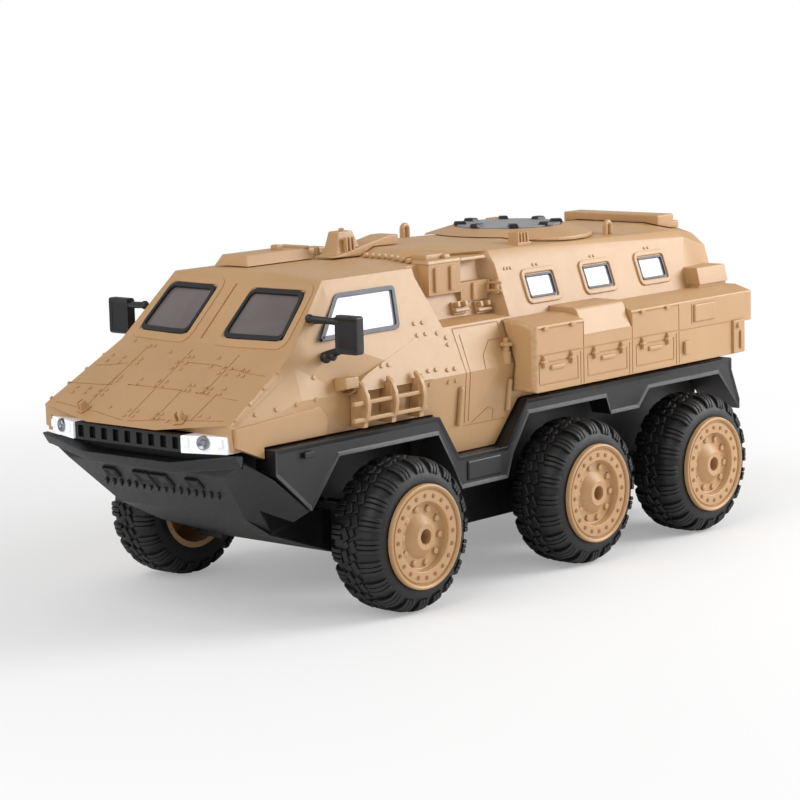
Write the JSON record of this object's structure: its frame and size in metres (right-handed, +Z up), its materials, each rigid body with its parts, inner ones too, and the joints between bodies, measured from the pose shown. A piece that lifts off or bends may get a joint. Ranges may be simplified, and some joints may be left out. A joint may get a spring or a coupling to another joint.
{
  "type": "toy armoured vehicle",
  "caption": "Radio-controlled armoured vehicle on tyred wheels: sand body shell over a black hull, steered front wheels, worm-driven axles, side lockers and a round roof hatch.",
  "frame": {"origin": "on the ground, under the middle of the overall length and width", "axes": "+X forward along the vehicle, +Y to its left, +Z up"},
  "size_m": [0.364, 0.169, 0.1585],
  "materials": {
    "sand_plastic": "satin moulded plastic, sand",
    "black_plastic": "satin moulded plastic, black",
    "tyre_rubber": "moulded tread, slight sheen",
    "smoked_glazing": "smoked, opaque",
    "bright_glazing": "silvered, opaque",
    "lamp_lens": "clear lens over a bright reflector",
    "grey_lid": "grey, satin",
    "steel": "turned",
    "white_nylon": "moulded",
    "battery_wrap": "shrink wrap",
    "circuit_board": "lacquered"
  },
  "bodies": {
    "chassis": {"battery_cover": "black_plastic", "battery_pack": "battery_wrap", "cab_glazing_left": "bright_glazing", "cab_glazing_right": "bright_glazing", "cabin_glazing_left": "bright_glazing", "cabin_glazing_right": "bright_glazing", "control_board": "circuit_board", "drive_motor": "steel", "driver_hatch": "sand_plastic", "front_bumper": "black_plastic", "front_grille": "black_plastic", "headlamp_left": "lamp_lens", "headlamp_right": "lamp_lens", "lower_hull": "black_plastic", "mirror_left": "black_plastic", "mirror_right": "black_plastic", "roof_beam": "sand_plastic", "roof_fairing": "sand_plastic", "round_hatch_lid": "grey_lid", "round_hatch_ring": "sand_plastic", "side_lockers_left": "sand_plastic", "side_lockers_right": "sand_plastic", "side_rack_left": "sand_plastic", "side_rack_right": "sand_plastic", "skirt_left": "black_plastic", "skirt_right": "black_plastic", "steering_bracket_left": "black_plastic", "steering_bracket_right": "black_plastic", "steering_servo": "black_plastic", "upper_hull": "sand_plastic", "windscreen_glazing": "smoked_glazing"},
    "knuckle_left": {"knuckle_left": "black_plastic"},
    "knuckle_right": {"knuckle_right": "black_plastic"},
    "front_wheel_left": {"stub_axle_left": "steel", "rim_front_left": "sand_plastic", "tyre_front_left": "tyre_rubber"},
    "front_wheel_right": {"stub_axle_right": "steel", "rim_front_right": "sand_plastic", "tyre_front_right": "tyre_rubber"},
    "front_axle": {"front_axle_shaft": "steel", "front_worm_wheel": "white_nylon"},
    "mid_axle": {"mid_axle_shaft": "steel", "mid_worm_wheel": "white_nylon", "rim_mid_left": "sand_plastic", "rim_mid_right": "sand_plastic", "tyre_mid_left": "tyre_rubber", "tyre_mid_right": "tyre_rubber"},
    "rear_axle": {"rear_axle_shaft": "steel", "rear_worm_wheel": "white_nylon", "rim_rear_left": "sand_plastic", "rim_rear_right": "sand_plastic", "tyre_rear_left": "tyre_rubber", "tyre_rear_right": "tyre_rubber"},
    "worm": {"worm_shaft": "steel"},
    "tie_rod": {"tie_rod": "black_plastic"},
    "servo_horn": {"servo_horn": "white_nylon"},
    "power_switch": {"power_switch": "black_plastic"}
  },
  "joints": [
    {"name": "rear_axle_spin", "type": "hinge", "parent": "chassis", "child": "rear_axle", "pos_m": [-0.1305, 0, 0.034], "axis": [0, 1, 0], "continuous": true},
    {"name": "mid_axle_spin", "type": "hinge", "parent": "chassis", "child": "mid_axle", "pos_m": [-0.038, 0, 0.034], "axis": [0, 1, 0], "continuous": true},
    {"name": "front_axle_spin", "type": "hinge", "parent": "chassis", "child": "front_axle", "pos_m": [0.084, 0, 0.034], "axis": [0, 1, 0], "continuous": true},
    {"name": "steer_left", "type": "hinge", "parent": "chassis", "child": "knuckle_left", "pos_m": [0.084, 0.048, 0.034], "axis": [0, 0, 1], "range_deg": [-22, 22]},
    {"name": "steer_right", "type": "hinge", "parent": "chassis", "child": "knuckle_right", "pos_m": [0.084, -0.048, 0.034], "axis": [0, 0, 1], "range_deg": [-22, 22]},
    {"name": "front_wheel_left_spin", "type": "hinge", "parent": "knuckle_left", "child": "front_wheel_left", "pos_m": [0.084, 0.048, 0.034], "axis": [0, 1, 0], "continuous": true},
    {"name": "front_wheel_right_spin", "type": "hinge", "parent": "knuckle_right", "child": "front_wheel_right", "pos_m": [0.084, -0.048, 0.034], "axis": [0, 1, 0], "continuous": true},
    {"name": "worm_spin", "type": "hinge", "parent": "chassis", "child": "worm", "pos_m": [0.084, 0, 0.0465], "axis": [1, 0, 0], "continuous": true},
    {"name": "tie_rod_slide", "type": "slide", "parent": "chassis", "child": "tie_rod", "axis": [0, 1, 0], "range_m": [-0.0055, 0.0055]},
    {"name": "servo_horn_turn", "type": "hinge", "parent": "chassis", "child": "servo_horn", "pos_m": [0.112, 0, 0.048], "axis": [0, 0, 1], "range_deg": [-22, 22]},
    {"name": "power_switch_slide", "type": "slide", "parent": "chassis", "child": "power_switch", "axis": [1, 0, 0], "range_m": [0, 0.004]}
  ],
  "couplings": [
    {"joint": "mid_axle_spin", "follows": "rear_axle_spin", "ratio": 1},
    {"joint": "front_axle_spin", "follows": "rear_axle_spin", "ratio": 1},
    {"joint": "front_wheel_left_spin", "follows": "rear_axle_spin", "ratio": 1},
    {"joint": "front_wheel_right_spin", "follows": "rear_axle_spin", "ratio": 1},
    {"joint": "worm_spin", "follows": "rear_axle_spin", "ratio": -16},
    {"joint": "steer_right", "follows": "steer_left", "ratio": 1},
    {"joint": "tie_rod_slide", "follows": "steer_left", "m_per_rad": 0.014},
    {"joint": "servo_horn_turn", "follows": "steer_left", "ratio": -1}
  ]
}
